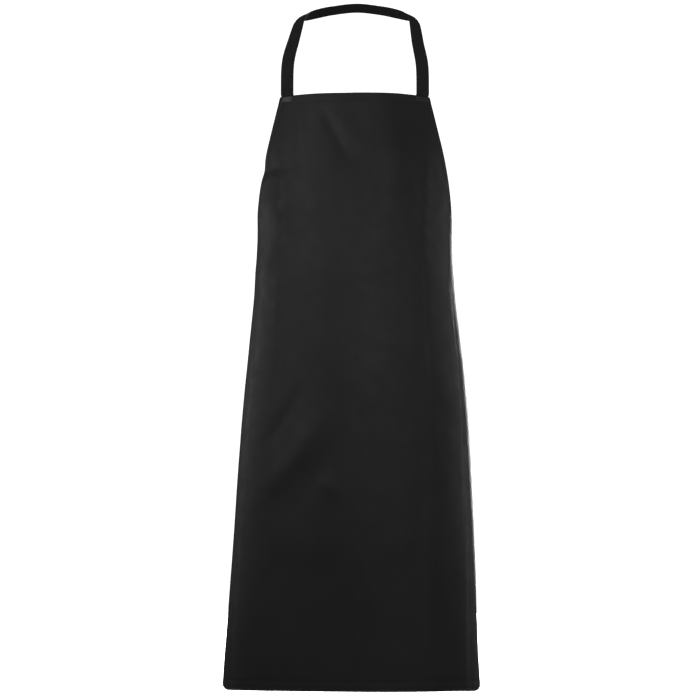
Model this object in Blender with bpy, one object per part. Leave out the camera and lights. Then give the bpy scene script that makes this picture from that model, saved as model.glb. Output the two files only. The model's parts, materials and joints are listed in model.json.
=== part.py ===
"""A lead apron as it hangs on a wearer: a bib apron of layered sheets on a neck strap, with two waist ties.

The origin is where the back of the neck holds the strap up. +Z is up and the apron's front faces -Y. The
panel is a stack of sheets that all follow one curved surface. A place on that surface is a drop below the
bib's top edge and an angle round the wearer, from 0 at the centre front to the edge angle at either side.
"""

import math

import bmesh
import bpy
from mathutils import Matrix, Vector

# Driving dimensions, in metres and degrees.
PANEL_LENGTH = 1.100
NECK_TO_BIB = 0.186
NECK_TO_FRONT = 0.220
ARMHOLE_DROP = 0.300
BIB_CROWN = 0.005
HEM_SIDE_DROP = 0.008
TOP_ANGLE = 51.0
WAIST_ANGLE = 98.0
HEM_ANGLE = 85.0
ARMHOLE_ROUNDNESS = 1.1

# The wearer's shape at some drops: half width, half depth, and how far it lies behind the foremost point.
SECTIONS = {
    0.00: (0.180, 0.125, 0.025),
    0.14: (0.185, 0.130, 0.006),
    ARMHOLE_DROP: (0.187, 0.145, 0.000),
    0.62: (0.216, 0.140, 0.004),
    PANEL_LENGTH: (0.242, 0.125, 0.012),
}

# The layers, counted inward from the outer face.
GAP = 0.0003
COVER = 0.0005
CORE = 0.0008
LINING = 0.0004
TAPE = 0.0004
TAPE_WIDTH = 0.018
OUTER_CORE_AT = COVER + GAP
INNER_CORE_AT = OUTER_CORE_AT + CORE + GAP
LINING_AT = INNER_CORE_AT + CORE + GAP
TAPE_AT = LINING_AT + LINING + GAP
SEWN_ON_GAP = 0.0016
SEWN_ON_AT = TAPE_AT + TAPE + SEWN_ON_GAP

# Straps and their sewn ends.
STRAP_WIDTH = 0.024
STRAP_THICKNESS = 0.0015
STRAP_X = 0.127
STRAP_RISE = 0.0015
STRAP_LEAN = 37.0
STRAP_END_LENGTH = 0.055
PATCH_MARGIN = 0.006
PATCH_THICKNESS = 0.0005
TACK_HEIGHT = 0.009
TACK_THICKNESS = 0.0004
TACK_DROP = 0.0065
STITCH_LINE_HEIGHT = 0.0012
STITCH_LINE_PITCH = 0.0055
TIE_LENGTH = 0.750
TIE_TAB_LENGTH = 0.035
TIE_DROP = ARMHOLE_DROP + 0.016
TIE_GAP = 0.004

# Half of the neck strap above the bib: how far each place lies in from STRAP_X, its shares of the way from
# the back of the neck to the bib, forward and down, and the direction that the strap's outer face looks in.
STRAP_PLACES = [
    (0.002, 0.96, 0.67, (0.05, -0.98, 0.18)),
    (0.008, 0.82, 0.43, (0.15, -0.80, 0.58)),
    (0.018, 0.53, 0.19, (0.42, -0.35, 0.84)),
    (0.032, 0.24, 0.09, (0.45, 0.30, 0.84)),
    (0.070, 0.06, 0.03, (0.20, 0.75, 0.63)),
]

# How finely the surface is cut.
ARMHOLE_ROWS = 8
SIDE_ROWS = 14
COLUMNS = 20
STRAP_STEPS = 10
ROUND_END_STEPS = 12
SLOPE_STEP = 0.004
SHARP_ANGLE = 40.0

MATERIALS = {
    "cover_black": ((0.012, 0.012, 0.013), 0.45),
    "lining_black": ((0.014, 0.014, 0.016), 0.70),
    "lead_vinyl": ((0.055, 0.058, 0.062), 0.60),
    "webbing_black": ((0.013, 0.013, 0.014), 0.80),
    "thread_grey": ((0.180, 0.180, 0.180), 0.70),
    "thread_black": ((0.020, 0.020, 0.020), 0.75),
}


def clear_scene():
    for old in list(bpy.data.objects):
        bpy.data.objects.remove(old, do_unlink=True)


def make_material(name):
    color, roughness = MATERIALS[name]
    material = bpy.data.materials.get(name) or bpy.data.materials.new(name)
    material.use_nodes = True
    shader = material.node_tree.nodes["Principled BSDF"]
    shader.inputs["Base Color"].default_value = (*color, 1.0)
    shader.inputs["Roughness"].default_value = roughness
    shader.inputs["Metallic"].default_value = 0.0
    return material


def add_object(name, mesh_data, material, parent=None, origin=Vector()):
    """A closed mesh as an object whose origin lies at a point, with its faces turned outward."""
    mesh_data.transform(Matrix.Translation(-origin))
    bmesh.ops.recalc_face_normals(mesh_data, faces=mesh_data.faces)
    mesh = bpy.data.meshes.new(name)
    mesh_data.to_mesh(mesh)
    mesh_data.free()
    mesh.shade_smooth()
    mesh.set_sharp_from_angle(angle=math.radians(SHARP_ANGLE))
    mesh.materials.append(make_material(material))
    part = bpy.data.objects.new(name, mesh)
    bpy.context.collection.objects.link(part)
    part.location = origin
    if parent:
        part.parent = parent
        part.location = origin - parent.location
    return part


def add_pivot(name, place):
    pivot = bpy.data.objects.new(name, None)
    pivot.location = place
    bpy.context.collection.objects.link(pivot)
    return pivot


def smooth_between(keys, values, at):
    """A smooth curve through values at rising keys, by cubic Hermite pieces."""

    def slope(i):
        low, high = max(i - 1, 0), min(i + 1, len(keys) - 1)
        return (values[high] - values[low]) / (keys[high] - keys[low])

    i = max(k for k in range(len(keys) - 1) if k == 0 or keys[k] <= at)
    span = keys[i + 1] - keys[i]
    t = (at - keys[i]) / span
    rise = values[i + 1] - values[i]
    ease = t * t * (3 - 2 * t)
    start_bend = t * (1 - t) * (1 - t) * span
    end_bend = t * t * (t - 1) * span
    return values[i] + rise * ease + slope(i) * start_bend + slope(i + 1) * end_bend


# The curved surface that every layer follows.


def section_at(drop):
    keys = list(SECTIONS)
    return [smooth_between(keys, [SECTIONS[k][c] for k in keys], drop) for c in range(3)]


def edge_angle_at(drop):
    """The angle at the panel's edge, in degrees: along the armhole, then down the side."""
    if drop < ARMHOLE_DROP:
        along = (drop / ARMHOLE_DROP) ** ARMHOLE_ROUNDNESS
        across = (1 - along) ** (1 / ARMHOLE_ROUNDNESS)
        return WAIST_ANGLE - (WAIST_ANGLE - TOP_ANGLE) * across
    below = (drop - ARMHOLE_DROP) / (PANEL_LENGTH - ARMHOLE_DROP)
    return WAIST_ANGLE + (HEM_ANGLE - WAIST_ANGLE) * below


def surface_point(drop, angle):
    """A point of the outer face, for an angle in degrees."""
    half_width, half_depth, behind = section_at(drop)
    side = (angle / edge_angle_at(drop)) ** 2
    down = drop / PANEL_LENGTH
    lift = BIB_CROWN * (1 - side) * (1 - down) - HEM_SIDE_DROP * side * down
    turn = math.radians(angle)
    return Vector((
        half_width * math.sin(turn),
        half_depth * (1 - math.cos(turn)) + behind - NECK_TO_FRONT,
        lift - drop - NECK_TO_BIB,
    ))


def surface_directions(drop, angle):
    """Unit vectors at a point: across towards +X, up, and inward to the wearer."""
    low = min(max(drop, SLOPE_STEP), PANEL_LENGTH - SLOPE_STEP)
    across = surface_point(low, angle + 1) - surface_point(low, angle - 1)
    up = surface_point(low - SLOPE_STEP, angle) - surface_point(low + SLOPE_STEP, angle)
    across.normalize()
    inward = up.cross(across).normalized()
    up = across.cross(inward).normalized()
    return across, up, inward


def row_drops():
    """Drops of the grid's rows: armhole rows follow its curve, and each hem tape ends on a row."""
    drops = [0.0, TAPE_WIDTH]
    for i in range(1, ARMHOLE_ROWS + 1):
        turn = math.radians(90 * i / ARMHOLE_ROWS)
        drop = ARMHOLE_DROP * math.sin(turn) ** (2 / ARMHOLE_ROUNDNESS)
        if drop > 2 * TAPE_WIDTH:
            drops.append(drop)
    last_row = PANEL_LENGTH - TAPE_WIDTH
    step = (last_row - ARMHOLE_DROP) / SIDE_ROWS
    drops += [ARMHOLE_DROP + step * i for i in range(1, SIDE_ROWS + 1)]
    return drops + [PANEL_LENGTH]


def column_angles(drop):
    """Angles of the grid's columns: the outermost on each side are a tape's width apart."""
    edge = edge_angle_at(drop)
    half_width, half_depth, _ = section_at(drop)
    turn = math.radians(edge)
    per_radian = math.hypot(half_width * math.cos(turn), half_depth * math.sin(turn))
    inner = edge - math.degrees(TAPE_WIDTH / per_radian)
    middle = [inner * (2 * i / COLUMNS - 1) for i in range(COLUMNS + 1)]
    return [-edge, *middle, edge]


class Grid:
    """The surface as rows and columns of points, each with its inward direction."""

    def __init__(self):
        self.drops = row_drops()
        self.armhole_row = self.drops.index(ARMHOLE_DROP)
        self.last_row = len(self.drops) - 1
        self.last_column = COLUMNS + 2
        self.points = []
        self.inward = []
        for drop in self.drops:
            angles = column_angles(drop)
            self.points.append([surface_point(drop, a) for a in angles])
            self.inward.append([surface_directions(drop, a)[2] for a in angles])

    def patch(self, rows, columns, depth, trim):
        """Points of a block of cells at a depth inward, with the block's border drawn in by trim."""
        block = [
            [self.points[r][c] + self.inward[r][c] * depth for c in range(columns[0], columns[1] + 1)]
            for r in range(rows[0], rows[1] + 1)
        ]
        flat = [[p.copy() for p in row] for row in block]
        for r, row in enumerate(block):
            row[0] = row[0] + (flat[r][1] - flat[r][0]).normalized() * trim
            row[-1] = row[-1] + (flat[r][-2] - flat[r][-1]).normalized() * trim
        for c in range(len(flat[0])):
            block[0][c] = block[0][c] + (flat[1][c] - flat[0][c]).normalized() * trim
            block[-1][c] = block[-1][c] + (flat[-2][c] - flat[-1][c]).normalized() * trim
        return block


def border(block):
    """A block's border, once round."""
    right = [row[-1] for row in block[1:-1]]
    left = [row[0] for row in block[1:-1]]
    return [*block[0], *right, *reversed(block[-1]), *reversed(left)]


def add_cells(mesh_data, block):
    """Every cell of a block, split along the same diagonal in each layer so that layers nest."""
    for upper, lower in zip(block, block[1:]):
        for c in range(len(upper) - 1):
            mesh_data.faces.new((upper[c], upper[c + 1], lower[c + 1]))
            mesh_data.faces.new((upper[c], lower[c + 1], lower[c]))


def join_loops(mesh_data, loops):
    for first, second in zip(loops, loops[1:]):
        for i in range(len(first)):
            n = (i + 1) % len(first)
            mesh_data.faces.new((first[i], first[n], second[n], second[i]))


def sheet(name, grid, material, rows, columns, depth, thickness, trim, parent):
    """A flat layer over a block of the grid."""
    mesh_data = bmesh.new()
    faces = [
        [[mesh_data.verts.new(p) for p in row] for row in grid.patch(rows, columns, at, trim)]
        for at in (depth, depth + thickness)
    ]
    for block in faces:
        add_cells(mesh_data, block)
    join_loops(mesh_data, [border(block) for block in faces])
    return add_object(name, mesh_data, material, parent, parent.location)


def front_cover(grid, parent):
    """The outer cover: a sheet whose edge turns back as a rim that hides the other layers' edges."""
    rows, columns = (0, grid.last_row), (0, grid.last_column)
    rim_depth = LINING_AT + LINING
    mesh_data = bmesh.new()

    def place(depth, trim):
        return [[mesh_data.verts.new(p) for p in row] for row in grid.patch(rows, columns, depth, trim)]

    def place_border(depth, trim):
        return [mesh_data.verts.new(p) for p in border(grid.patch(rows, columns, depth, trim))]

    outer = place(0.0, 0.0)
    inner = place(COVER, COVER)
    add_cells(mesh_data, outer)
    add_cells(mesh_data, inner)
    rim = [place_border(rim_depth, 0.0), place_border(rim_depth, COVER)]
    join_loops(mesh_data, [border(outer), *rim, border(inner)])
    return add_object("front_cover", mesh_data, "cover_black", parent, parent.location)


def inner_layers(grid, parent):
    """Two lead-vinyl sheets that stop short of the stitching, and the lining behind them."""
    core_rows, core_columns = (1, grid.last_row - 1), (1, grid.last_column - 1)
    all_rows, all_columns = (0, grid.last_row), (0, grid.last_column)
    rim_clearance = COVER + GAP
    sheet("outer_lead_sheet", grid, "lead_vinyl", core_rows, core_columns, OUTER_CORE_AT, CORE, GAP, parent)
    sheet("inner_lead_sheet", grid, "lead_vinyl", core_rows, core_columns, INNER_CORE_AT, CORE, GAP, parent)
    sheet("lining", grid, "lining_black", all_rows, all_columns, LINING_AT, LINING, rim_clearance, parent)


def edge_tapes(grid, parent):
    """Six tapes sewn round the inside edge: top, two armholes, two sides and the bottom hem."""
    last_row, last_column, arm = grid.last_row, grid.last_column, grid.armhole_row
    blocks = {
        "top_edge_tape": ((0, 1), (0, last_column)),
        "left_armhole_tape": ((1, arm), (0, 1)),
        "right_armhole_tape": ((1, arm), (last_column - 1, last_column)),
        "left_side_tape": ((arm, last_row - 1), (0, 1)),
        "right_side_tape": ((arm, last_row - 1), (last_column - 1, last_column)),
        "bottom_hem_tape": ((last_row - 1, last_row), (0, last_column)),
    }
    for name, (rows, columns) in blocks.items():
        sheet(name, grid, "cover_black", rows, columns, TAPE_AT, TAPE, GAP, parent)


# Flat pieces that lie on the surface.


def slab(name, center, across, up, inward, width, height, thickness, material, parent):
    """A thin plate with its outer face centred on a point."""
    mesh_data = bmesh.new()
    axes = Matrix((across * width, up * height, inward * thickness)).transposed().to_4x4()
    place = Matrix.Translation(center + inward * (thickness / 2)) @ axes
    bmesh.ops.create_cube(mesh_data, size=1.0, matrix=place)
    return add_object(name, mesh_data, material, parent, parent.location)


def angle_at_x(drop, x):
    return math.degrees(math.asin(x / section_at(drop)[0]))


def strap_anchor(side, sign, parent):
    """A strap's end sewn behind the bib, with a patch over it."""
    drop = STRAP_END_LENGTH / 2
    angle = angle_at_x(drop, sign * STRAP_X)
    across, up, inward = surface_directions(drop, angle)
    place = surface_point(drop, angle) + inward * SEWN_ON_AT
    slab(f"{side}_strap_end", place, across, up, inward, STRAP_WIDTH, STRAP_END_LENGTH,
         STRAP_THICKNESS, "webbing_black", parent)
    patch_place = place + inward * (STRAP_THICKNESS + GAP) - up * PATCH_MARGIN
    slab(f"{side}_anchor_patch", patch_place, across, up, inward, STRAP_WIDTH + PATCH_MARGIN,
         STRAP_END_LENGTH, PATCH_THICKNESS, "cover_black", parent)


def front_stitches(name, sign, drop, height, parent):
    """A block or a line of thread on the bib's face, over a strap's end."""
    angle = angle_at_x(drop, sign * STRAP_X)
    across, up, inward = surface_directions(drop, angle)
    width = STRAP_WIDTH + 2 * GAP
    bow = width * width / (8 * section_at(drop)[1])
    place = surface_point(drop, angle) - inward * (TACK_THICKNESS + GAP + bow)
    slab(name, place, across, up, inward, width, height, TACK_THICKNESS, "thread_grey", parent)


def tie_anchor(side, sign, parent):
    """A tie's end sewn on the inside of the side edge, with its line of stitching."""
    edge = sign * edge_angle_at(TIE_DROP)
    half_depth = section_at(TIE_DROP)[1]
    angle = edge - sign * math.degrees(TIE_TAB_LENGTH / 2 / half_depth)
    across, up, inward = surface_directions(TIE_DROP, angle)
    bow = TIE_TAB_LENGTH * TIE_TAB_LENGTH / (8 * half_depth)
    place = surface_point(TIE_DROP, angle) + inward * (SEWN_ON_AT + bow)
    slab(f"{side}_tie_end", place, across, up, inward, TIE_TAB_LENGTH, STRAP_WIDTH,
         STRAP_THICKNESS, "webbing_black", parent)
    stitch_place = place + inward * (STRAP_THICKNESS + GAP)
    slab(f"{side}_tie_tack", stitch_place, across, up, inward, TACK_HEIGHT, STRAP_WIDTH - 2 * GAP,
         TACK_THICKNESS, "thread_black", parent)


def tie_pivot_place(sign):
    """Just behind the panel's side edge, in line with the tie's sewn end."""
    corner = surface_point(TIE_DROP, sign * edge_angle_at(TIE_DROP))
    inset = SEWN_ON_AT + STRAP_THICKNESS
    return corner + Vector((-sign * inset, STRAP_WIDTH / 2 + TIE_GAP, 0))


def waist_tie(side, sign, parent):
    """A flat strap hanging from a round top end, so that it turns freely beside the panel's edge."""
    radius = STRAP_WIDTH / 2
    turns = [math.pi * i / ROUND_END_STEPS for i in range(ROUND_END_STEPS + 1)]
    outline = [(radius * math.cos(t), radius * math.sin(t)) for t in turns]
    outline += [(-radius, -TIE_LENGTH), (radius, -TIE_LENGTH)]
    mesh_data = bmesh.new()
    center = parent.location
    half = STRAP_THICKNESS / 2
    corners = [mesh_data.verts.new(center + Vector((-half, y, z))) for y, z in outline]
    face = mesh_data.faces.new(corners)
    grown = bmesh.ops.extrude_face_region(mesh_data, geom=[face])
    moved = [v for v in grown["geom"] if isinstance(v, bmesh.types.BMVert)]
    bmesh.ops.translate(mesh_data, verts=moved, vec=(STRAP_THICKNESS, 0, 0))
    return add_object(f"{side}_waist_tie", mesh_data, "webbing_black", parent, center)


# The neck strap.


def strap_guide():
    """Points along one half of the strap, from the bib to the back of the neck, with outward directions."""
    start = surface_point(0, angle_at_x(0, STRAP_X))
    foot = Vector((STRAP_X, start.y + SEWN_ON_AT + STRAP_THICKNESS / 2, start.z + STRAP_RISE))
    places = [(foot, Vector((0, -1, 0)))]
    for inset, forward, down, out in STRAP_PLACES:
        places.append((Vector((STRAP_X - inset, forward * foot.y, down * foot.z)), Vector(out)))
    lean = math.radians(STRAP_LEAN)
    out_back = Vector((0, math.cos(lean), math.sin(lean)))
    places.append((out_back * STRAP_THICKNESS / 2, out_back))
    return places


def strap_path():
    """The whole strap, from the left of the bib round the neck to the right."""
    guide = strap_guide()
    mirror = Vector((-1, 1, 1))
    left = [(place * mirror, out * mirror) for place, out in guide]
    stops = left + guide[-2::-1]
    keys = list(range(len(stops)))
    path = []
    for i in range((len(stops) - 1) * STRAP_STEPS // 2 + 1):
        at = 2 * i / STRAP_STEPS
        path.append([
            Vector([smooth_between(keys, [s[part][c] for s in stops], at) for c in range(3)])
            for part in (0, 1)
        ])
    return path


def neck_strap(parent):
    path = strap_path()
    mesh_data = bmesh.new()
    rings = []
    for i, (place, out) in enumerate(path):
        before = path[max(i - 1, 0)][0]
        after = path[min(i + 1, len(path) - 1)][0]
        along = (after - before).normalized()
        side = along.cross(out).normalized() * (STRAP_WIDTH / 2)
        out = side.cross(along).normalized() * (STRAP_THICKNESS / 2)
        corners = (side + out, out - side, -side - out, side - out)
        rings.append([mesh_data.verts.new(place + corner) for corner in corners])
    join_loops(mesh_data, rings)
    mesh_data.faces.new(rings[0])
    mesh_data.faces.new(rings[-1])
    return add_object("neck_strap", mesh_data, "webbing_black", parent, parent.location)


def build():
    clear_scene()
    grid = Grid()
    neck = add_pivot("neck", Vector())
    foot, _ = strap_guide()[0]
    seam = add_pivot("bib_seam", Vector((0, foot.y, foot.z)))
    neck_strap(neck)
    front_cover(grid, seam)
    inner_layers(grid, seam)
    edge_tapes(grid, seam)
    for side, sign in (("left", -1), ("right", 1)):
        strap_anchor(side, sign, seam)
        tie_anchor(side, sign, seam)
        waist_tie(side, sign, add_pivot(f"{side}_tie_pivot", tie_pivot_place(sign)))
    front_stitches("left_strap_tack", -1, TACK_DROP, TACK_HEIGHT, seam)
    upper_line = TACK_DROP - STITCH_LINE_PITCH / 2
    front_stitches("right_strap_stitch_upper", 1, upper_line, STITCH_LINE_HEIGHT, seam)
    front_stitches("right_strap_stitch_lower", 1, upper_line + STITCH_LINE_PITCH, STITCH_LINE_HEIGHT, seam)


build()
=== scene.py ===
"""The looks of a lead apron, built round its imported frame.

Every layer of the panel is cut from one draped surface. A place on it is given in the apron's own flat
pattern: how far it lies across from the centre front, and its drop below the bib's top edge, in metres.
"""

import json
import math

import bpy
import numpy as np
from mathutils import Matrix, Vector, noise


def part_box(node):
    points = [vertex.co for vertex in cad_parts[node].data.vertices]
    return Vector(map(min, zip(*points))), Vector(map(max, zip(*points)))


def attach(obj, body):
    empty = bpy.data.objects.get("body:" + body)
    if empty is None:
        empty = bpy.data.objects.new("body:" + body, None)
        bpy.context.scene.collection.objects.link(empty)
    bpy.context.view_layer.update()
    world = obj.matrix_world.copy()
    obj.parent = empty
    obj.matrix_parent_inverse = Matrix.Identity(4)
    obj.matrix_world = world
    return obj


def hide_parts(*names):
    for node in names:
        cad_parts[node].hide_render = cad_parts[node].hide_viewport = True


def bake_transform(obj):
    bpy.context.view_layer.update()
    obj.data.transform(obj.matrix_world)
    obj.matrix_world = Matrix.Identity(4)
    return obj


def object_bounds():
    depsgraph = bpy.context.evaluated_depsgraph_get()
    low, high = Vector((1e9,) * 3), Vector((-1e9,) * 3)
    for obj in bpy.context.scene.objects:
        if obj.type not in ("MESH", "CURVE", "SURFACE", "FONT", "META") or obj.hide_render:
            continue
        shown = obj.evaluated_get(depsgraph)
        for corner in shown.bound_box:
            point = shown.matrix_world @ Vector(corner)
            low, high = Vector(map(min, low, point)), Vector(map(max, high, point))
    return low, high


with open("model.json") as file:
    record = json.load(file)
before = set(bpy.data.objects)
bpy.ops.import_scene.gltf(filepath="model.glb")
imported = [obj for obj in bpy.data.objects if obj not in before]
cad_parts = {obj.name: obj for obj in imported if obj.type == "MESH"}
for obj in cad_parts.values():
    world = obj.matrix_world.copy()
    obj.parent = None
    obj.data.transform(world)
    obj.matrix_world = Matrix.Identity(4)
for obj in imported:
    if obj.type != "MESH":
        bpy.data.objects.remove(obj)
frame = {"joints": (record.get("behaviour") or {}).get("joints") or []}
cad_low, cad_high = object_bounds()
joints = {joint["name"]: joint for joint in frame["joints"]}

# Places and sizes that come from the frame.
COVER_LOW, COVER_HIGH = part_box("front_cover")
SEAM = Vector(joints["panel_swing"]["pos_m"])
TIE_PIVOTS = {side: Vector(joints[f"{side}_tie_swing"]["pos_m"]) for side in ("left", "right")}

# The draped surface, as in the frame. Angles are in degrees round the wearer from the centre front.
BIB_CROWN = 0.005
HEM_SIDE_DROP = 0.008
TOP_ANGLE = 51.0
WAIST_ANGLE = 98.0
HEM_ANGLE = 85.0
ARMHOLE_ROUNDNESS = 1.1
BIB_Z = COVER_HIGH.z - BIB_CROWN
LENGTH = BIB_Z - COVER_LOW.z - HEM_SIDE_DROP
FRONT_Y = COVER_LOW.y
ARMHOLE_DROP = 0.300
HEM_HALF_WIDTH = COVER_HIGH.x / math.sin(math.radians(HEM_ANGLE))
SECTION_DROPS = np.array([0.0, 0.14, ARMHOLE_DROP, 0.62, LENGTH])
HALF_WIDTHS = HEM_HALF_WIDTH * np.array([0.744, 0.764, 0.773, 0.893, 1.0])
HALF_DEPTHS = np.array([0.125, 0.130, 0.145, 0.140, 0.125])
SET_BACKS = np.array([0.025, 0.006, 0.000, 0.004, 0.012])

# How the panel hangs away from the frame: the skirt sways to the left and flares on the right, the hem
# sags and tilts down to the right, the bib's crown is tilted, and the hem's corners are rounded off.
HEM_SWAY = 0.0065
SWAY_FROM = 0.52
RIGHT_FLARE = 0.0030
FLARE_FROM = 0.26
FLARE_FULL = 0.50
HEM_SAG = 0.0030
HEM_SIDE_SAG = 0.0035
HEM_TILT = 0.0012
CROWN_TILT = 0.0004
CROWN_TILT_REACH = 0.10
CORNER_LIFT = 0.0085
CORNER_SHARE = 0.86
CORNER_HEIGHT = 0.08

# How high the cloth waves: all over, broadly and finely, and in the skirt below a drop.
BROAD_WAVE = 0.0016
FINE_WAVE = 0.0005
SKIRT_WAVE = 0.0045
SKIRT_WAVE_FROM = 0.55

# Depths of the layers, counted inward from the outer face.
COVER = 0.0005
OUTER_SHEET_AT = 0.0008
INNER_SHEET_AT = 0.0019
SHEET = 0.0008
LINING_AT = 0.0030
LINING = 0.0004
TAPE_AT = 0.0037
TAPE = 0.0006
TAPE_LAP = 0.0002
TAPE_PUFF = 0.0005
EDGE_ROLL = 0.0018
TURNED_EDGE_REACH = 0.0015
SEWN_ON_AT = 0.0052

# Sewing.
TAPE_WIDTH = 0.018
TAPE_INSET = 0.0008
LINING_INSET = 0.0012
SEAM_INSET = 0.013
HEM_SEAM_INSET = 0.017
GROOVE_DEPTH = 0.00022
GROOVE_WIDTH = 0.0022
PUFF_HEIGHT = 0.00012
SIDE_GROOVE_SHARE = 0.4
STITCH_PITCH = 0.0034
STITCH_LENGTH = 0.0027
THREAD_RADIUS = 0.00030
TACK_THREAD_RADIUS = 0.00050
THREAD_SIDES = 6

# Webbing, and how the strap and the ties are sewn on.
STRAP_WIDTH = 0.024
STRAP_THICKNESS = 0.0015
STRAP_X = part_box("neck_strap")[1].x - STRAP_WIDTH / 2
STRAP_SWAY = 0.0040
STRAP_LEAN = 50.0
STRAP_CUP = 0.006
WEBBING_SPACING = 0.0025
STRAP_END_LENGTH = 0.055
STRAP_LEAVES_AT = 0.003
TACK_DROP = 0.0050
TACK_WIDTH = 1.32 * STRAP_WIDTH
TACK_HEIGHT = 0.009
STITCH_LINE_PITCH = 0.0045
PATCH_MARGIN = 0.006
TIE_TAB_LENGTH = 0.035
TIE_BEND = 0.010
TIE_SWAY = (0.0045, 0.004)
TIE_TWIST = 0.35
TIE_HEM = 0.014
TIE_HEM_SWELL = 0.9

# Stage and light.
FLOOR_GAP = 0.12
STAGE_RADIUS = 9.0
STAGE_SWEEP = 2.0
STAGE_HEIGHT = 12.0
STAGE_SIDES = 96
STAGE_GLOW = 1.2
KEY_WATTS = 8.6
FRONT_WATTS = 5.6
FILL_WATTS = 6.5
LEFT_STRIP_WATTS = 3.4
RIGHT_STRIP_WATTS = 3.6
LEFT_SIDE_WATTS = 3.2
RIGHT_SIDE_WATTS = 3.4
TOP_WATTS = 7.5
BACK_WATTS = 160.0
ROOM_GLOW = 0.032

# Camera.
CAMERA_DISTANCE = 5.0
SEEN_WIDTH = 1.292
CAMERA_X = -0.0092
CAMERA_DROP = 0.472

# The settling simulation, on every third row and column. The body lies this far inside the sheet, the
# sheet is longer by a share, they touch at a gap, and the sheet is pinned near the straps.
SETTLE_STEP = 3
SETTLE_ROOM = 0.006
SETTLE_EXCESS = 0.004
SETTLE_TOUCH = 0.002
SETTLE_FRAMES = 30
STRAP_SHARE = 0.86
PIN_SHARE = 0.07

# What is kept of its folds: those between a fine and a broad blur, capped, and faded by the armholes.
SETTLE_FINE = 3
SETTLE_BROAD = 60
SETTLE_CAP = 0.0012
SETTLE_SIDE_FADE = 0.85
SETTLE_FADE_SHARES = (0.55, 0.80)
SETTLE_FADE_DROPS = (0.22, 0.42)

# How finely the surface is cut.
ARMHOLE_ROWS = 76
SIDE_ROWS = 160
HALF_COLUMNS = 64
EDGE_BAND = 0.030
EDGE_ROWS = 14
HALF_ARC = 0.28


def smooth_curve(keys, values, at):
    """A smooth curve through values at rising keys, by cubic Hermite pieces, for an array of places."""
    keys, values, at = (np.asarray(x, float) for x in (keys, values, at))
    low = np.maximum(np.arange(len(keys)) - 1, 0)
    high = np.minimum(np.arange(len(keys)) + 1, len(keys) - 1)
    slopes = (values[high] - values[low]) / (keys[high] - keys[low])
    i = np.clip(np.searchsorted(keys, at, side="right") - 1, 0, len(keys) - 2)
    span = keys[i + 1] - keys[i]
    t = (at - keys[i]) / span
    blend = t * t * (3 - 2 * t)
    bends = slopes[i] * t * (1 - t) ** 2 + slopes[i + 1] * t * t * (t - 1)
    return values[i] + (values[i + 1] - values[i]) * blend + bends * span


def ease(value, low, high):
    """0 below low and 1 above high, with a smooth rise between."""
    t = np.clip((value - low) / (high - low), 0, 1)
    return t * t * (3 - 2 * t)


def unit(vectors):
    """Vectors of any array scaled to length 1."""
    return vectors / np.maximum(np.linalg.norm(vectors, axis=-1, keepdims=True), 1e-12)


def run_length(path):
    """How far along a path each of its places lies."""
    steps = np.linalg.norm(np.diff(path, axis=0), axis=1)
    return np.concatenate([[0.0], np.cumsum(steps)])


def edge_angle(drop):
    """The angle round the wearer at the panel's edge, in degrees: along the armhole, then down the side."""
    along = np.clip(drop / ARMHOLE_DROP, 0, 1) ** ARMHOLE_ROUNDNESS
    armhole = WAIST_ANGLE - (WAIST_ANGLE - TOP_ANGLE) * (1 - along) ** (1 / ARMHOLE_ROUNDNESS)
    below = (drop - ARMHOLE_DROP) / (LENGTH - ARMHOLE_DROP)
    side = WAIST_ANGLE + (HEM_ANGLE - WAIST_ANGLE) * below
    return np.where(drop < ARMHOLE_DROP, armhole, side)


def frame_surface(drop, share):
    """The frame's outer face, for a drop and a share of the way from the centre to the edge."""
    turn = np.radians(share * edge_angle(drop))
    half_width = smooth_curve(SECTION_DROPS, HALF_WIDTHS, drop)
    half_depth = smooth_curve(SECTION_DROPS, HALF_DEPTHS, drop)
    set_back = smooth_curve(SECTION_DROPS, SET_BACKS, drop)
    down = drop / LENGTH
    lift = BIB_CROWN * (1 - share**2) * (1 - down) - HEM_SIDE_DROP * share**2 * down
    x = half_width * np.sin(turn)
    y = half_depth * (1 - np.cos(turn)) + set_back + FRONT_Y
    return np.stack([x, y, lift - drop + BIB_Z], axis=-1)


def surface_rows():
    """Drops of the rows: they follow the armhole's curve, then run down evenly, closer at the hem."""
    turns = np.linspace(0, math.pi / 2, ARMHOLE_ROWS + 1)[:-1]
    armhole = ARMHOLE_DROP * np.sin(turns) ** (2 / ARMHOLE_ROUNDNESS)
    band = LENGTH - EDGE_BAND
    side = np.linspace(ARMHOLE_DROP, band, SIDE_ROWS + 1)[:-1]
    return np.concatenate([armhole, side, np.linspace(band, LENGTH, EDGE_ROWS + 1)])


def surface_columns():
    """Shares of the columns from the left edge to the right: even, and closer by either edge."""
    edge = EDGE_BAND / HALF_ARC
    half = np.concatenate([
        np.linspace(0, 1 - edge, HALF_COLUMNS + 1)[:-1], np.linspace(1 - edge, 1, EDGE_ROWS + 1),
    ])
    return np.concatenate([-half[:0:-1], half])


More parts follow.
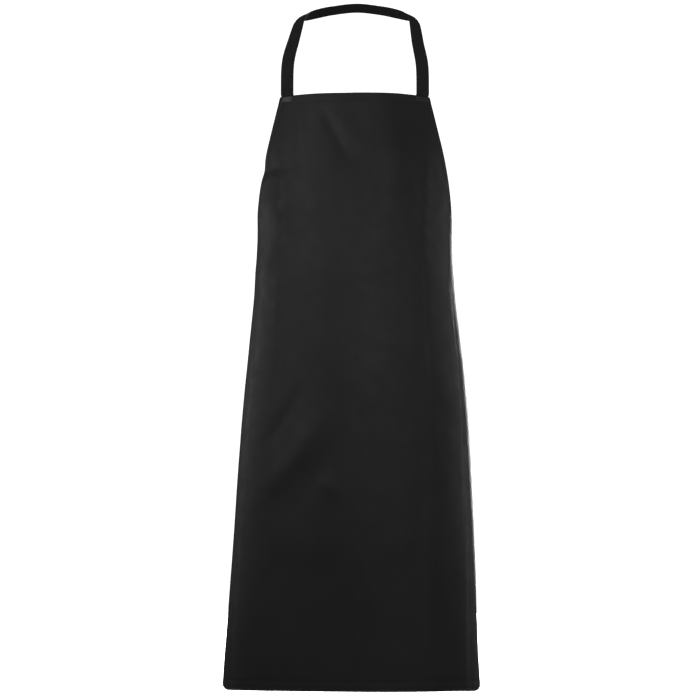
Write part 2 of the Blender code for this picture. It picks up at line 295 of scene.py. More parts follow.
# Folds. Each is a soft crease along a path of (x, drop) places as seen from the front, with how wide it
# is and how high it stands, below zero for a valley.
FOLDS = [
    ([(-0.057, 0.038), (-0.036, 0.078), (-0.012, 0.120)], 0.0105, -0.0046),
    ([(-0.028, 0.034), (-0.002, 0.078), (0.028, 0.122)], 0.015, 0.0022),
    ([(0.028, 0.000), (0.046, 0.050), (0.064, 0.118), (0.078, 0.200)], 0.044, 0.0120),
    ([(-0.180, 0.142), (-0.156, 0.130), (-0.124, 0.136)], 0.014, -0.0052),
    ([(-0.173, 0.212), (-0.152, 0.204), (-0.126, 0.212)], 0.024, 0.0050),
    ([(-0.140, 0.236), (-0.154, 0.280), (-0.178, 0.336)], 0.018, 0.0040),
    ([(0.152, 0.150), (0.146, 0.230), (0.160, 0.320)], 0.024, -0.0036),
    ([(-0.102, 0.546), (-0.128, 0.596), (-0.162, 0.650)], 0.013, -0.0036),
    ([(-0.060, 0.596), (-0.108, 0.664), (-0.166, 0.742)], 0.022, 0.0046),
    ([(-0.026, 0.640), (-0.070, 0.704), (-0.116, 0.780)], 0.022, -0.0018),
    ([(-0.062, 0.706), (-0.034, 0.738)], 0.014, 0.0018),
    ([(0.100, 0.500), (0.140, 0.560), (0.180, 0.610)], 0.024, -0.0024),
    ([(0.008, 0.500), (0.004, 0.560), (0.008, 0.640)], 0.006, -0.0010),
    ([(0.013, 0.878), (0.014, 0.902), (0.013, 0.926)], 0.006, -0.0014),
    ([(-0.041, 0.944), (-0.042, 0.960), (-0.041, 0.978)], 0.006, -0.0011),
]


def fold_height(x, drop, path, width, height):
    """A crease's height at places: a bell across the path that fades out towards the path's ends."""
    path = np.array(path)
    best = np.full(x.shape, np.inf)
    along = np.zeros(x.shape)
    lengths = np.linalg.norm(np.diff(path, axis=0), axis=1)
    starts = run_length(path)
    for i, length in enumerate(lengths):
        step = (path[i + 1] - path[i]) / length
        reach = np.clip((x - path[i][0]) * step[0] + (drop - path[i][1]) * step[1], 0, length)
        away = np.hypot(x - path[i][0] - step[0] * reach, drop - path[i][1] - step[1] * reach)
        nearer = away < best
        best = np.where(nearer, away, best)
        along = np.where(nearer, (starts[i] + reach) / starts[-1], along)
    fade = np.sin(math.pi * np.clip(along * 0.88 + 0.06, 0, 1)) ** 0.8
    return height * fade * np.exp(-((best / width) ** 2))


def soft_noise(points, scale, seed):
    """Smooth noise at points, about -1 to 1."""
    shift = Vector((seed * 7.3, seed * 3.1, seed * 5.7))
    flat = points.reshape(-1, 3) * scale
    values = [noise.noise(Vector(p) + shift) for p in flat]
    return np.array(values).reshape(points.shape[:-1])


def drape_height(points, drop, share):
    """How far the cloth stands out from the frame's surface."""
    x = points[..., 0]
    height = sum(fold_height(x, drop, *fold) for fold in FOLDS)
    height = height + BROAD_WAVE * soft_noise(points * (1, 1, 0.45), 9.0, 1)
    height = height + FINE_WAVE * soft_noise(points * (1, 1, 0.6), 26.0, 2)
    low = np.clip((drop - SKIRT_WAVE_FROM) / (LENGTH - SKIRT_WAVE_FROM), 0, 1)
    wave = np.sin(5.2 * share + 0.8) * 0.6 + np.sin(9.1 * share - 1.1) * 0.4
    return height + SKIRT_WAVE * wave * low**1.5


def seam_groove(drop, share, half_arc):
    """The cover drawn in along the seam that holds its turned edge, and puffed out beside it."""
    from_side = (1 - np.abs(share)) * half_arc
    seams = (
        (from_side, SEAM_INSET, SIDE_GROOVE_SHARE),
        (drop, SEAM_INSET, 1.0),
        (LENGTH - drop, HEM_SEAM_INSET, 1.0),
    )
    height = np.zeros(np.broadcast(drop, from_side).shape)
    for distance, inset, share_of_depth in seams:
        groove = GROOVE_DEPTH * np.exp(-(((distance - inset) / GROOVE_WIDTH) ** 2))
        puff_middle, puff_width = 0.45 * inset, 0.3 * inset
        puff = PUFF_HEIGHT * np.exp(-(((distance - puff_middle) / puff_width) ** 2))
        height = height + share_of_depth * (puff - groove)
    return height


def hang_shift(drop, share):
    """How the panel hangs away from the frame: sideways and up or down."""
    down = drop / LENGTH
    flare = RIGHT_FLARE * np.clip(share, 0, 1) ** 2 * ease(drop, FLARE_FROM, FLARE_FULL)
    x = -HEM_SWAY * ease(drop, SWAY_FROM, LENGTH) + flare
    crown = CROWN_TILT * np.sin(math.pi * share) * (1 - ease(drop, 0, CROWN_TILT_REACH))
    sag = (HEM_SAG + HEM_SIDE_SAG * share**2 + HEM_TILT * share) * down**2
    corner = np.clip((np.abs(share) - CORNER_SHARE) / (1 - CORNER_SHARE), 0, 1) ** 2
    corner = corner * np.clip((drop - LENGTH + CORNER_HEIGHT) / CORNER_HEIGHT, 0, 1) ** 2
    return np.stack([x, 0 * x, CORNER_LIFT * corner + crown - sag], axis=-1)


# The settling simulation.


def blurred(grid, times):
    """A grid of values, each averaged with its neighbours a number of times."""
    for _ in range(times):
        padded = np.pad(grid, 1, mode="edge")
        around = padded[:-2, 1:-1] + padded[2:, 1:-1] + padded[1:-1, :-2] + padded[1:-1, 2:]
        grid = 0.5 * grid + around / 8
    return grid


def make_cloth(sheet):
    """Gives the sheet a stiff cloth's weight and stiffness, in Blender's own units, held at its pins."""
    cloth = sheet.modifiers.new("cloth", "CLOTH")
    settings = {
        "quality": 6, "mass": 0.25, "tension_stiffness": 20.0, "compression_stiffness": 20.0,
        "shear_stiffness": 8.0, "bending_stiffness": 6.0, "air_damping": 4.0,
        "vertex_group_mass": "pins", "shrink_min": -SETTLE_EXCESS,
    }
    for setting, value in settings.items():
        setattr(cloth.settings, setting, value)
    cloth.collision_settings.distance_min = SETTLE_TOUCH


def settled_heights(drops, shares):
    """How far a slightly roomy sheet stands off the frame's surface once it has settled, in metres.

    The sheet hangs from where the straps are sewn, over a body shaped like the frame's inside.
    """
    rows = np.unique(np.append(np.arange(0, len(drops), SETTLE_STEP), len(drops) - 1))
    columns = np.unique(np.append(np.arange(0, len(shares), SETTLE_STEP), len(shares) - 1))
    drop, share = np.meshgrid(drops[rows], shares[columns], indexing="ij")
    rest = frame_surface(drop, share)
    outward = Drape.find_outward(rest)
    faces = grid_faces(*rest.shape[:2], 0, False)
    body = mesh_object("settle_body", rest - outward * SETTLE_ROOM, faces)
    body.modifiers.new("collision", "COLLISION")
    body.collision.thickness_outer = SETTLE_TOUCH
    sheet = mesh_object("settle_sheet", rest, faces)
    pins = sheet.vertex_groups.new(name="pins")
    near_strap = np.abs(np.abs(share[:2]) - STRAP_SHARE) < PIN_SHARE
    pins.add(np.flatnonzero(near_strap).tolist(), 1.0, "REPLACE")
    make_cloth(sheet)
    scene = bpy.context.scene
    for frame_number in range(1, SETTLE_FRAMES + 1):
        scene.frame_set(frame_number)
    settled = sheet.evaluated_get(bpy.context.evaluated_depsgraph_get())
    places = np.zeros(len(settled.data.vertices) * 3)
    settled.data.vertices.foreach_get("co", places)
    scene.frame_set(1)
    height = ((places.reshape(rest.shape) - rest) * outward).sum(axis=2)
    for thing in (sheet, body):
        bpy.data.objects.remove(thing, do_unlink=True)
    height = blurred(height, SETTLE_FINE) - blurred(height, SETTLE_BROAD)
    height = SETTLE_CAP * np.tanh(height / SETTLE_CAP)
    by_armhole = ease(np.abs(share), *SETTLE_FADE_SHARES) * (1 - ease(drop, *SETTLE_FADE_DROPS))
    height = height * (1 - SETTLE_SIDE_FADE * by_armhole)
    along_rows = np.stack([np.interp(drops, drops[rows], line) for line in height.T], axis=1)
    return np.stack([np.interp(shares, shares[columns], line) for line in along_rows], axis=0)


# The surface every layer is laid on.


class Drape:
    """The draped surface as rows and columns of points, which any piece can be laid on."""

    def __init__(self):
        self.drops = surface_rows()
        self.shares = surface_columns()
        drop, share = np.meshgrid(self.drops, self.shares, indexing="ij")
        points = frame_surface(drop, share)
        steps = np.linalg.norm(np.diff(points, axis=1), axis=2)
        self.half_arcs = steps.sum(axis=1) / 2
        height = drape_height(points, drop, share) + seam_groove(drop, share, self.half_arcs[:, None])
        height = height + settled_heights(self.drops, self.shares)
        self.points = points + self.find_outward(points) * height[..., None] + hang_shift(drop, share)
        self.outward = self.find_outward(self.points)

    @staticmethod
    def find_outward(points):
        """Unit directions out of a grid of points, away from the wearer."""
        down = np.gradient(points, axis=0)
        across = np.gradient(points, axis=1)
        return unit(np.cross(down, across))

    def half_arc(self, drop):
        """How far the edge lies from the centre front at a drop, along the cloth."""
        return np.interp(drop, self.drops, self.half_arcs)

    def strap_across(self):
        """How far across the flat pattern the neck strap's ends lie."""
        half_width = smooth_curve(SECTION_DROPS, HALF_WIDTHS, TACK_DROP)
        share = math.degrees(math.asin(STRAP_X / half_width)) / edge_angle(TACK_DROP)
        return float(share * self.half_arc(TACK_DROP))

    def lay(self, across, drop, depth):
        """Points at places of the flat pattern, at a depth inward from the outer face."""
        across, drop, depth = np.broadcast_arrays(*(np.asarray(v, float) for v in (across, drop, depth)))
        inside = np.clip(drop, 0, LENGTH)
        share = across / self.half_arc(inside)
        row = np.interp(inside, self.drops, np.arange(len(self.drops)))
        column = np.interp(share, self.shares, np.arange(len(self.shares)))
        r = np.minimum(row.astype(int), len(self.drops) - 2)
        c = np.minimum(column.astype(int), len(self.shares) - 2)
        fr, fc = (row - r)[..., None], (column - c)[..., None]
        spots = []
        for grid in (self.points, self.outward):
            upper = grid[r, c] * (1 - fc) + grid[r, c + 1] * fc
            lower = grid[r + 1, c] * (1 - fc) + grid[r + 1, c + 1] * fc
            spots.append(upper * (1 - fr) + lower * fr)
        point, outward = spots[0], unit(spots[1])
        return point - outward * depth[..., None], outward


# Meshes.


def mesh_object(name, points, faces):
    """An object of a new mesh, in the scene."""
    mesh = bpy.data.meshes.new(name)
    mesh.from_pydata(np.asarray(points, float).reshape(-1, 3).tolist(), [], faces)
    thing = bpy.data.objects.new(name, mesh)
    bpy.context.scene.collection.objects.link(thing)
    return thing


def add_piece(name, points, faces, material, body, replaces=(), pattern=None):
    """A smooth piece that rides on a body. pattern gives each point's place in the cloth, in metres."""
    piece = mesh_object(name, points, faces)
    mesh = piece.data
    if pattern is not None:
        layer = mesh.uv_layers.new(name="pattern")
        corners = np.zeros(len(mesh.loops), int)
        mesh.loops.foreach_get("vertex_index", corners)
        layer.data.foreach_set("uv", np.asarray(pattern, np.float32).reshape(-1, 2)[corners].ravel())
    mesh.shade_smooth()
    mesh.materials.append(material)
    if replaces:
        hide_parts(*replaces)
    if body:
        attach(piece, body)
    return piece


def grid_faces(rows, columns, first, flip):
    """Faces of a grid whose points are numbered from first, row by row."""
    faces = []
    for r in range(rows - 1):
        for c in range(columns - 1):
            a = first + r * columns + c
            face = (a, a + columns, a + columns + 1, a + 1)
            faces.append(face[::-1] if flip else face)
    return faces


def border_indices(rows, columns, first=0):
    """A grid's border, once round, from its first point along the first row."""
    top = [first + c for c in range(columns)]
    right = [first + r * columns + columns - 1 for r in range(1, rows - 1)]
    bottom = [first + (rows - 1) * columns + c for c in reversed(range(columns))]
    left = [first + r * columns for r in reversed(range(1, rows - 1))]
    return top + right + bottom + left


def loop_faces(first, second):
    """A closed band of faces between two loops of point numbers."""
    count = len(first)
    return [
        (first[i], first[(i + 1) % count], second[(i + 1) % count], second[i]) for i in range(count)
    ]


def slab_faces(rows, columns):
    """Faces of two equal grids, the outer one first, and of the sides that join their borders."""
    count = rows * columns
    faces = grid_faces(rows, columns, 0, False) + grid_faces(rows, columns, count, True)
    return faces + loop_faces(border_indices(rows, columns, count), border_indices(rows, columns))


def border_outward(grid):
    """Unit directions out over a grid's border, along its surface."""
    padded = np.pad(grid, ((1, 1), (1, 1), (0, 0)), mode="edge")
    inner = grid.copy()
    rows, columns = grid.shape[:2]
    for r, c in np.ndindex(rows, columns):
        if r in (0, rows - 1) or c in (0, columns - 1):
            near_row = 1 if r == 0 else rows - 2 if r == rows - 1 else r
            near_column = 1 if c == 0 else columns - 2 if c == columns - 1 else c
            inner[r, c] = padded[near_row + 1, near_column + 1]
    return unit(grid - inner)


def thin_layer(name, drape, inset, depth, thickness, material, node):
    """A sheet of the panel, drawn in from the edges, with closed sides. Its cells follow the cover's."""
    clear = 1.05 * inset
    rows = drape.drops[(drape.drops > clear) & (drape.drops < LENGTH - clear)]
    drop = np.concatenate([[inset], rows, [LENGTH - inset]])[:, None]
    half_arc = drape.half_arc(drop)
    border = 1 - inset / half_arc
    inner_shares = drape.shares[np.abs(drape.shares) < 1 - clear / half_arc.min()]
    shares = np.concatenate([-border, np.tile(inner_shares, (len(drop), 1)), border], axis=1)
    across = shares * half_arc
    outer, _ = drape.lay(across, drop, depth)
    inner, _ = drape.lay(across, drop, depth + thickness)
    faces = slab_faces(*outer.shape[:2])
    pattern = np.stack(np.broadcast_arrays(across, drop), axis=-1)
    add_piece(name, [outer, inner], faces, material, "panel", [node], [pattern, pattern])


def front_cover(drape, material):
    """The cover, whose turned edge rolls back over the layers behind it."""
    outer, outward = drape.points, drape.outward
    rows, columns = outer.shape[:2]
    rim = border_indices(rows, columns)
    rim_points, rim_outward, rim_out = (
        grid.reshape(-1, 3)[rim] for grid in (outer, outward, border_outward(outer))
    )
    drop, share = np.meshgrid(drape.drops, drape.shares, indexing="ij")
    pattern = np.stack([share * drape.half_arcs[:, None], drop], axis=-1)
    rim_pattern = pattern.reshape(-1, 2)[rim]
    points, patterns = [outer.reshape(-1, 3)], [pattern.reshape(-1, 2)]
    faces = grid_faces(rows, columns, 0, False)
    last, total = rim, rows * columns
    turns = np.radians(np.arange(20, 181, 20))
    rolls = [(EDGE_ROLL * math.sin(t), EDGE_ROLL * (1 - math.cos(t))) for t in turns]
    folded_at = 2 * EDGE_ROLL
    rolls += [
        (-TURNED_EDGE_REACH, folded_at), (-TURNED_EDGE_REACH, folded_at - COVER), (0.0, folded_at - COVER),
    ]
    for reach, depth in rolls:
        points.append(rim_points + rim_out * reach - rim_outward * depth)
        patterns.append(rim_pattern)
        ring = list(range(total, total + len(rim)))
        faces += loop_faces(ring, last)
        last, total = ring, total + len(rim)
    inner = outer - outward * COVER
    points.append(inner.reshape(-1, 3))
    patterns.append(pattern.reshape(-1, 2))
    faces += grid_faces(rows, columns, total, True)
    faces += loop_faces(border_indices(rows, columns, total), last)
    add_piece(
        "cover_cloth", np.concatenate(points), faces, material, "panel",
        ["front_cover"], np.concatenate(patterns),
    )


# Edges of the flat pattern.


def edge_path(drape, name, inset, spacing):
    """Evenly spaced places along a named edge of the flat pattern, moved in by inset."""
    armhole = drape.drops <= ARMHOLE_DROP + 1e-9
    side = drape.drops >= ARMHOLE_DROP - 1e-9
    if name in ("top", "hem"):
        drop = 0.0 if name == "top" else LENGTH
        half = float(drape.half_arc(drop))
        across = np.linspace(-half, half, 200)
        path = np.stack([across, np.full_like(across, drop)], axis=1)
        into = np.array([[0.0, 1.0 if name == "top" else -1.0]])
    else:
        sign = -1 if name.startswith("left") else 1
        rows = armhole if name.endswith("armhole") else side
        path = np.stack([sign * drape.half_arcs[rows], drape.drops[rows]], axis=1)
        run = unit(np.gradient(path, axis=0))
        into = np.stack([-run[:, 1] * sign, run[:, 0] * sign], axis=1)
    path = path + into * inset
    length = run_length(path)
    count = max(int(length[-1] / spacing), 2)
    at = np.linspace(0, length[-1], count + 1)
    return np.stack([np.interp(at, length, path[:, i]) for i in range(2)], axis=1)


def sweep_faces(count, ring):
    """Faces of a tube of rings, with a cap at each end."""
    faces = []
    for i in range(count - 1):
        for k in range(ring):
            n = (k + 1) % ring
            a, b = i * ring, (i + 1) * ring
            faces.append((a + k, b + k, b + n, a + n))
    faces.append(tuple(range(ring)))
    faces.append(tuple(reversed(range((count - 1) * ring, count * ring))))
    return faces


def edge_tape(drape, edge, material, node, depth):
    """A tape sewn flat round one inside edge, a little puffed between its fold and its stitches."""
    spread = np.linspace(0, 1, 9)
    lines = [edge_path(drape, edge, TAPE_INSET + TAPE_WIDTH * s, 0.004) for s in spread]
    count = min(len(line) for line in lines)
    lines = [line[np.linspace(0, len(line) - 1, count).round().astype(int)] for line in lines]
    places = np.stack(lines, axis=1)
    puff = TAPE_PUFF * np.sin(math.pi * spread) ** 0.5
    low, _ = drape.lay(places[..., 0], places[..., 1], depth)
    high, _ = drape.lay(places[..., 0], places[..., 1], depth + TAPE + puff)
    rings = np.concatenate([high, low[:, ::-1]], axis=1)
    flats = np.concatenate([places, places[:, ::-1]], axis=1)
    faces = sweep_faces(rings.shape[0], rings.shape[1])
    add_piece(node + "_cloth", rings, faces, material, "panel", [node], flats)


def stitch_line(name, drape, path, depth, outward_sign, material, replaces=(), radius=THREAD_RADIUS):
    """A row of stitches along a path: each a short arched thread whose ends dip into the cloth."""
    arch = np.array([0.0, 0.30, 0.70, 1.0])
    rise = np.array([-0.6, 0.75, 0.75, -0.6])
    swell = np.array([0.6, 1.0, 1.0, 0.6])
    ring = THREAD_SIDES
    turns = np.arange(ring) * 2 * math.pi / ring
    gap = (1 - STITCH_LENGTH / STITCH_PITCH) / 2
    points, faces = [], []
    for start, end in zip(path, path[1:]):
        spots = start + (end - start) * (gap + arch[:, None] * (1 - 2 * gap))
        place, outward = drape.lay(spots[:, 0], spots[:, 1], depth)
        up = outward * outward_sign
        run = unit(np.gradient(place, axis=0))
        side = unit(np.cross(run, up))
        center = place + up * (rise * radius)[:, None]
        circle = (
            np.cos(turns)[None, :, None] * side[:, None, :] + np.sin(turns)[None, :, None] * up[:, None, :]
        )
        base = len(points) * len(arch) * ring
        points.append(center[:, None, :] + circle * (radius * swell)[:, None, None])
        faces += [tuple(base + i for i in face) for face in sweep_faces(len(arch), ring)]
    add_piece(name, np.concatenate(points), faces, material, "panel", replaces)


# Webbing.


def webbing_ring():
    """A webbing's cross-section: flat faces with round selvedges, as shares of width and thickness."""
    turns = np.linspace(0, 2 * math.pi, 24, endpoint=False)
    wide = np.sign(np.cos(turns)) * np.abs(np.cos(turns)) ** 0.35
    thick = np.sign(np.sin(turns)) * np.abs(np.sin(turns)) ** 0.8
    return wide / 2, thick / 2


def webbing(name, path, faces_out, material, replaces, thickness=STRAP_THICKNESS, cup=0.0):
    """A strap along a path of points, its face along the given directions, its middle raised by the cup."""
    along = unit(np.gradient(path, axis=0))
    side = unit(np.cross(along, faces_out))
    out = np.cross(side, along)
    wide, thick = webbing_ring()
    thickness, cup = (np.broadcast_to(value, len(path))[:, None] for value in (thickness, cup))
    rings = (
        path[:, None, :]
        + side[:, None, :] * (wide * STRAP_WIDTH)[None, :, None]
        + out[:, None, :] * (thick * thickness + (1 - 4 * wide**2) * cup)[..., None]
    )
    across = np.broadcast_to(wide * STRAP_WIDTH, rings.shape[:2])
    length = np.broadcast_to(run_length(path)[:, None], rings.shape[:2])
    pattern = np.stack([across, length], axis=-1)
    faces = sweep_faces(len(path), len(wide))
    return add_piece(name, rings, faces, material, None, replaces, pattern)


def even_path(points, others, spacing):
    """A path and what goes with it, resampled at an even spacing."""
    length = run_length(points)
    at = np.linspace(0, length[-1], int(length[-1] / spacing) + 1)
    resampled = [
        np.stack([np.interp(at, length, values[:, i]) for i in range(3)], axis=1)
        for values in (points, others)
    ]
    return resampled[0], unit(resampled[1])


# Half of the neck strap, from the bib over the shoulder to the back of the neck. Each place lies a distance
# inward from the bib's end, shares of the way from the back of the neck forward and down to the seam, and
# faces a direction.
STRAP_PLACES = [
    (0.0000, 1.00, 1.000, (0.00, -1.00, 0.00)),
    (0.0015, 0.97, 0.670, (0.08, -0.97, 0.18)),
    (0.0105, 0.84, 0.420, (0.24, -0.78, 0.55)),
    (0.0175, 0.62, 0.210, (0.44, -0.45, 0.78)),
    (0.0190, 0.46, 0.165, (0.54, -0.11, 0.83)),
    (0.0200, 0.33, 0.140, (0.50, 0.25, 0.82)),
    (0.0320, 0.17, 0.102, (0.34, 0.55, 0.76)),
    (0.0530, 0.08, 0.062, (0.22, 0.65, 0.72)),
    (0.0780, 0.04, 0.030, (0.12, 0.64, 0.76)),
]


def strap_guide():
    """The right half of the neck strap: places with outward directions, up to the back of the neck."""
    lean = math.radians(STRAP_LEAN)
    guide = [((STRAP_X - inset, f * SEAM.y, d * SEAM.z), out) for inset, f, d, out in STRAP_PLACES]
    out_back = (0.0, math.cos(lean), math.sin(lean))
    half = STRAP_THICKNESS / 2
    return [*guide, ((0.0, out_back[1] * half, out_back[2] * half), out_back)]


def neck_strap(drape, material):
    """One strap from behind the bib's left corner, round the neck, to behind its right corner.

    Its middle is cupped where it lies on the shoulders, and flat at the bib and at the back of the neck.
    """
    guide = [(np.array(p), np.array(o)) for p, o in strap_guide()]
    mirror = np.array([-1.0, 1.0, 1.0])
    stops = [(p * mirror, o * mirror) for p, o in guide] + guide[-2::-1]
    gaps = [np.linalg.norm(second[0] - first[0]) for first, second in zip(stops, stops[1:])]
    keys = np.concatenate([[0.0], np.cumsum(gaps)])
    at = np.linspace(0, keys[-1], 300)
    loop, outs = (
        np.stack([smooth_curve(keys, [s[part][i] for s in stops], at) for i in range(3)], axis=1)
        for part in (0, 1)
    )
    loop[:, 0] += STRAP_SWAY * ease(loop[:, 2], 0.6 * SEAM.z, 0.1 * SEAM.z)
    drop = np.linspace(STRAP_END_LENGTH, STRAP_LEAVES_AT, 30)
    depth = SEWN_ON_AT + STRAP_THICKNESS / 2
    reach = drape.strap_across()
    left_end, right_end = (drape.lay(sign * reach, drop, depth) for sign in (-1, 1))
    path = np.concatenate([left_end[0], loop[2:-2], right_end[0][::-1]])
    faces_out = np.concatenate([left_end[1], outs[2:-2], right_end[1][::-1]])
    path, faces_out = even_path(path, faces_out, WEBBING_SPACING)
    cup = STRAP_CUP * np.abs(faces_out[:, 0]) * ease(path[:, 2], SEAM.z, 0.8 * SEAM.z)
    strap = webbing(
        "neck_strap_webbing", path, faces_out, material,
        ["neck_strap", "left_strap_end", "right_strap_end"], cup=cup,
    )
    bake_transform(strap)


def hanging_tie(pivot, sign, bottom_z):
    """The free length of a tie, hung a little wavy and twisted: places and outward directions."""
    hang_z = np.linspace(pivot[2] - TIE_BEND - 0.004, bottom_z, 180)
    down = (hang_z[0] - hang_z) / (hang_z[0] - hang_z[-1])
    sway_x = TIE_SWAY[0] * np.sin(down * 7.0 + sign) * down**0.7
    sway_y = TIE_SWAY[1] * np.sin(down * 4.3 + 2 * sign) * down
    twist = TIE_TWIST * np.sin(down * 5.0 + sign) * down**0.5
    places = np.stack([pivot[0] + sway_x, pivot[1] + sway_y, hang_z], axis=1)
    return places, np.stack([sign * np.cos(twist), np.sin(twist), 0 * twist], axis=1)


def waist_tie(side, sign, drape, material):
    """A tie sewn along the inside of the side edge, turning down behind it and hanging free."""
    pivot = np.array(TIE_PIVOTS[side])
    tie_low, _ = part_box(f"{side}_waist_tie")
    drop = BIB_Z - pivot[2]
    half = float(drape.half_arc(drop))
    tab_across = sign * np.linspace(half - TIE_TAB_LENGTH, half, 16)
    tab, tab_out = drape.lay(tab_across, drop, SEWN_ON_AT + STRAP_THICKNESS / 2)
    turn = np.radians(np.linspace(90, 0, 14))
    corner = pivot + np.array([0.0, -TIE_BEND, -TIE_BEND])
    bend = corner + TIE_BEND * np.stack([0 * turn, np.cos(turn), np.sin(turn)], axis=1)
    bend_out = np.tile([sign, 0.0, 0.0], (len(turn), 1))
    hang, hang_out = hanging_tie(pivot, sign, tie_low.z + 0.001)
    path = np.concatenate([tab, bend, hang])
    outs = np.concatenate([tab_out, bend_out, hang_out])
    path, outs = even_path(path, outs, WEBBING_SPACING)
    to_end = np.linalg.norm(path - path[-1], axis=1)
    hemmed = 1 - ease(to_end, TIE_HEM - 0.001, TIE_HEM + 0.002)
    thickness = STRAP_THICKNESS * (1 + TIE_HEM_SWELL * hemmed)
    tie = webbing(
        f"{side}_tie_webbing", path, outs, material, [f"{side}_waist_tie", f"{side}_tie_end"], thickness,
    )
    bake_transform(tie)


def tack_grid(center, wide, tall, lines):
    """Places of a zigzag of thread that fills a small patch."""
    return np.array([
        center + np.array([(-1) ** i * wide / 2, tall * (i / (lines - 1) - 0.5)]) for i in range(lines)
    ])


# Materials.


def new_material(name, color, roughness, sheen=0.0, specular=0.5):
    """A material with its node tree and its shader."""
    material = bpy.data.materials.new(name)
    material.use_nodes = True
    shader = material.node_tree.nodes["Principled BSDF"]
    shader.inputs["Base Color"].default_value = (*color, 1.0)
    shader.inputs["Roughness"].default_value = roughness
    shader.inputs["Specular IOR Level"].default_value = specular
    shader.inputs["Sheen Weight"].default_value = sheen
    shader.inputs["Sheen Roughness"].default_value = 0.5
    return material, material.node_tree, shader


def add_node(tree, kind, inputs=(), **settings):
    """A node whose inputs are given as values or as the sockets that feed them."""
    node = tree.nodes.new(kind)
    for key, value in settings.items():
        setattr(node, key, value)
    for key, value in dict(inputs).items():
        if isinstance(value, bpy.types.NodeSocket):
            tree.links.new(value, node.inputs[key])
        else:
            node.inputs[key].default_value = value
    return node


def object_place(tree):
    return add_node(tree, "ShaderNodeTexCoord").outputs["Object"]


def pattern_place(tree):
    return add_node(tree, "ShaderNodeUVMap", uv_map="pattern").outputs["UV"]


def ramp(tree, value, low, high, to_low, to_high):
    """A value's range carried over to another range."""
    node = add_node(tree, "ShaderNodeMapRange", {
        "Value": value, "From Min": low, "From Max": high, "To Min": to_low, "To Max": to_high,
    })
    return node.outputs["Result"]


def mix_colors(tree, factor, first, second):
    """A colour between two, by sockets 0, 6 and 7 of the mix node, out of socket 2."""
    node = add_node(tree, "ShaderNodeMix", {0: factor, 6: (*first, 1.0), 7: (*second, 1.0)}, data_type="RGBA")
    return node.outputs[2]


def math_value(tree, operation, *values):
    return add_node(tree, "ShaderNodeMath", dict(enumerate(values)), operation=operation).outputs[0]


def thread_rows(tree, place, direction, pitch, distortion=0.0, **inputs):
    """Rows of threads across a direction, 0 to 1. At scale 1 the texture repeats every 2 pi / 20 metres."""
    wave = add_node(tree, "ShaderNodeTexWave", {
        "Vector": place, "Scale": 2 * math.pi / 20 / pitch, "Distortion": distortion, **inputs,
    }, bands_direction=direction)
    return wave.outputs["Fac"]


def bump(tree, height, strength, distance, under=None):
    inputs = {"Height": height, "Strength": strength, "Distance": distance}
    if under is not None:
        inputs["Normal"] = under
    return add_node(tree, "ShaderNodeBump", inputs).outputs["Normal"]


def noise_value(tree, place, scale, detail=3.0, roughness=0.5):
    inputs = {"Vector": place, "Scale": scale, "Detail": detail, "Roughness": roughness}
    return add_node(tree, "ShaderNodeTexNoise", inputs).outputs["Fac"]


def coated_cloth():
    """Matt black coated cloth: a fine grain, faint mottling and slightly rubbed high spots."""
    material, tree, shader = new_material("coated_cloth", (0.014, 0.014, 0.015), 0.55, 0.0, 0.22)
    place = object_place(tree)
    mottle = ramp(tree, noise_value(tree, place, 7.0, 4.0), 0.35, 0.65, 0.0, 1.0)
    cloudy = noise_value(tree, place, 45.0, 4.0, 0.6)
    color = mix_colors(tree, mottle, (0.0125, 0.0125, 0.0132), (0.0165, 0.0165, 0.0172))
    tree.links.new(color, shader.inputs["Base Color"])
    tree.links.new(ramp(tree, cloudy, 0.3, 0.7, 0.50, 0.62), shader.inputs["Roughness"])
    grain = add_node(tree, "ShaderNodeTexVoronoi", {"Vector": place, "Scale": 1100.0, "Randomness": 0.9})
    fine = bump(tree, grain.outputs["Distance"], 0.22, 0.0002)
    soft = bump(tree, cloudy, 0.25, 0.0006, fine)
    tree.links.new(soft, shader.inputs["Normal"])
    return material


def woven(name, dark, light, pitch, depth, roughness, sheen):
    """Plain woven cloth: crossing rows of threads laid along the cloth's own pattern."""
    material, tree, shader = new_material(name, dark, roughness, sheen)
    place = pattern_place(tree)
    waves = [thread_rows(tree, place, direction, pitch) for direction in ("X", "Y")]
    weave = math_value(tree, "MULTIPLY", *waves)
    slubs = noise_value(tree, place, 320.0, 2.0)
    color = mix_colors(tree, slubs, dark, light)
    tree.links.new(color, shader.inputs["Base Color"])
    tree.links.new(bump(tree, weave, 0.7, depth), shader.inputs["Normal"])
    rough = ramp(tree, slubs, 0.3, 0.7, roughness - 0.06, roughness + 0.06)
    tree.links.new(rough, shader.inputs["Roughness"])
    return material


